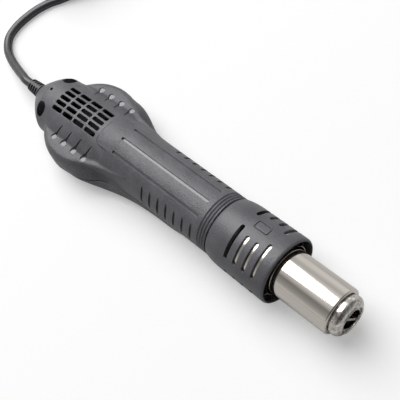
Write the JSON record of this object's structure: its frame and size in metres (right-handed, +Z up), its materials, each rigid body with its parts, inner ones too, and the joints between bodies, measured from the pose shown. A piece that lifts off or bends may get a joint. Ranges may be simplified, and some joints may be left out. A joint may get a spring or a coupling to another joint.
{
  "type": "hot air rework handpiece",
  "caption": "Handpiece of a hot air rework station: vented fan housing, grip, slotted collar, steel heater barrel with outlet cap, and a cable with a round connector.",
  "frame": {"origin": "centre of the handpiece's footprint, on the surface that it lies on, measured without the cable, its coil and its connector", "axes": "+X along the barrel towards the air outlet, +Y to the left of that direction, +Z up, away from the flat belly"},
  "size_m": [0.2984, 0.1399, 0.0324],
  "materials": {
    "housing": "fine grained moulded grip housing",
    "collar": "fine grained heat resistant moulding",
    "bright_steel": "bright turned",
    "barrel_steel": "polished stainless",
    "mica": "mica sheet, stated as a matte non-metal",
    "ceramic": "unglazed ceramic, stated as a matte non-metal",
    "wire": "oxidised resistance wire",
    "fan_plastic": "black moulded",
    "screw_steel": "zinc plated",
    "brass": "sintered",
    "stator_steel": "laminated core with copper windings",
    "board": "printed board",
    "cable_rubber": "satin sheath",
    "tie_plastic": "nylon strap",
    "connector_metal": "nickel plated",
    "insert_plastic": "moulded contact carrier with plated pins"
  },
  "bodies": {
    "handpiece": {"upper_shell": "housing", "lower_shell": "housing", "barrel_tube": "barrel_steel", "outlet_cap": "bright_steel", "outlet_baffle": "bright_steel", "mica_sleeve": "mica", "heater_plate": "mica", "heater_core": "ceramic", "heater_winding": "wire", "thermocouple": "wire", "fan_bearing": "brass", "motor_base": "fan_plastic", "motor_stator": "stator_steel", "fan_board": "board", "fan_screw_1": "screw_steel", "fan_screw_2": "screw_steel", "fan_screw_3": "screw_steel", "shell_screw_1": "screw_steel", "clamp_screw_1": "screw_steel", "shell_screw_2": "screw_steel", "clamp_screw_2": "screw_steel", "cable_boot": "cable_rubber", "cable_clamp": "fan_plastic", "inner_leads": "cable_rubber", "cable": "cable_rubber", "cable_coil": "cable_rubber", "cable_tie": "tie_plastic", "connector_boot": "cable_rubber", "connector_shell": "connector_metal", "connector_insert": "insert_plastic"},
    "fan_rotor": {"fan_impeller": "fan_plastic", "rotor_shaft": "screw_steel"},
    "collar": {"vented_collar": "collar", "heat_shield": "bright_steel"},
    "coupling_nut": {"connector_nut": "connector_metal"}
  },
  "joints": [
    {"name": "fan_spin", "type": "hinge", "parent": "handpiece", "child": "fan_rotor", "pos_m": [-0.05575, 0, 0.0162], "axis": [0, 0, 1], "continuous": true},
    {"name": "collar_turn", "type": "hinge", "parent": "handpiece", "child": "collar", "pos_m": [0.05, 0, 0.0162], "axis": [1, 0, 0], "range_deg": [0, 360]},
    {"name": "nut_turn", "type": "hinge", "parent": "handpiece", "child": "coupling_nut", "pos_m": [-0.14088, 0.07469, 0.0205], "axis": [-0.4848, 0.8746, 0], "range_deg": [0, 360]}
  ]
}
